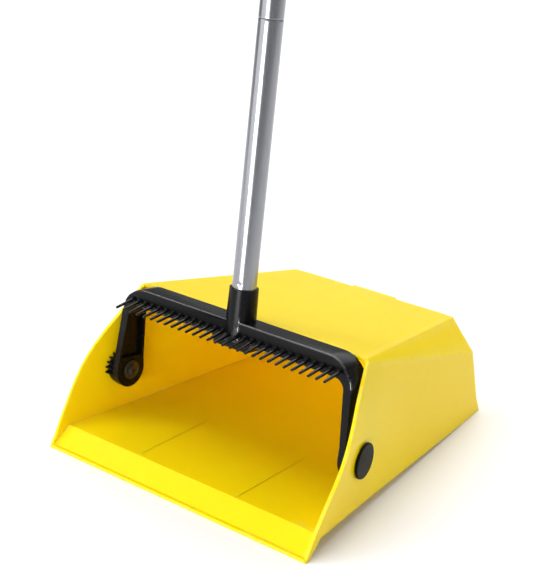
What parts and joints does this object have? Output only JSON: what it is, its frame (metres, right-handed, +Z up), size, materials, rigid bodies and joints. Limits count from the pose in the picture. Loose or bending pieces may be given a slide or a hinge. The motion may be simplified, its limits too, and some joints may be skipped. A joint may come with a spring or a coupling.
{
  "type": "upright dustpan",
  "caption": "Upright dustpan: a covered pan on side pivots, a yoke with a row of comb teeth, and a screw-together pole with a grip and a broom clip.",
  "frame": {"origin": "on the floor, under the middle of the pan's lip", "axes": "+X to the right seen from behind the pole, +Y from the lip to the back wall, +Z up"},
  "size_m": [0.2726, 0.2693, 0.9113],
  "materials": {
    "pan_plastic": "glossy yellow",
    "black_plastic": "satin black",
    "comb_plastic": "satin black",
    "cap_plastic": "satin black",
    "tube_silver": "satin silver-grey lacquer on steel",
    "plug_plastic": "plain black",
    "joint_plastic": "plain black",
    "grip_plastic": "satin black",
    "clip_plastic": "satin black",
    "screw_steel": "blackened",
    "washer_steel": "blackened"
  },
  "bodies": {
    "pan": {"pan_shell": "pan_plastic", "right_pivot_cap": "cap_plastic", "left_pivot_cap": "cap_plastic", "right_toothed_spacer": "black_plastic", "left_toothed_spacer": "black_plastic", "pivot_screws": "screw_steel", "pivot_washers": "washer_steel"},
    "pole": {"yoke": "black_plastic", "comb_strip": "comb_plastic", "base_plug": "plug_plastic", "lower_tube": "tube_silver", "lower_joint_socket": "joint_plastic", "middle_joint_stud": "joint_plastic", "middle_tube": "tube_silver", "middle_joint_socket": "joint_plastic", "upper_joint_stud": "joint_plastic", "upper_tube": "tube_silver", "grip_plug": "plug_plastic", "grip": "grip_plastic"},
    "broom_clip": {"broom_clip": "clip_plastic"}
  },
  "joints": [
    {"name": "pole_hinge", "type": "hinge", "parent": "pan", "child": "pole", "pos_m": [0, 0.0756, 0.0462], "axis": [1, 0, 0], "range_deg": [0, 100]},
    {"name": "clip_swivel", "type": "hinge", "parent": "pole", "child": "broom_clip", "pos_m": [0, 0.1927, 0.65912], "axis": [0, 0.1908, 0.9816], "continuous": true}
  ]
}
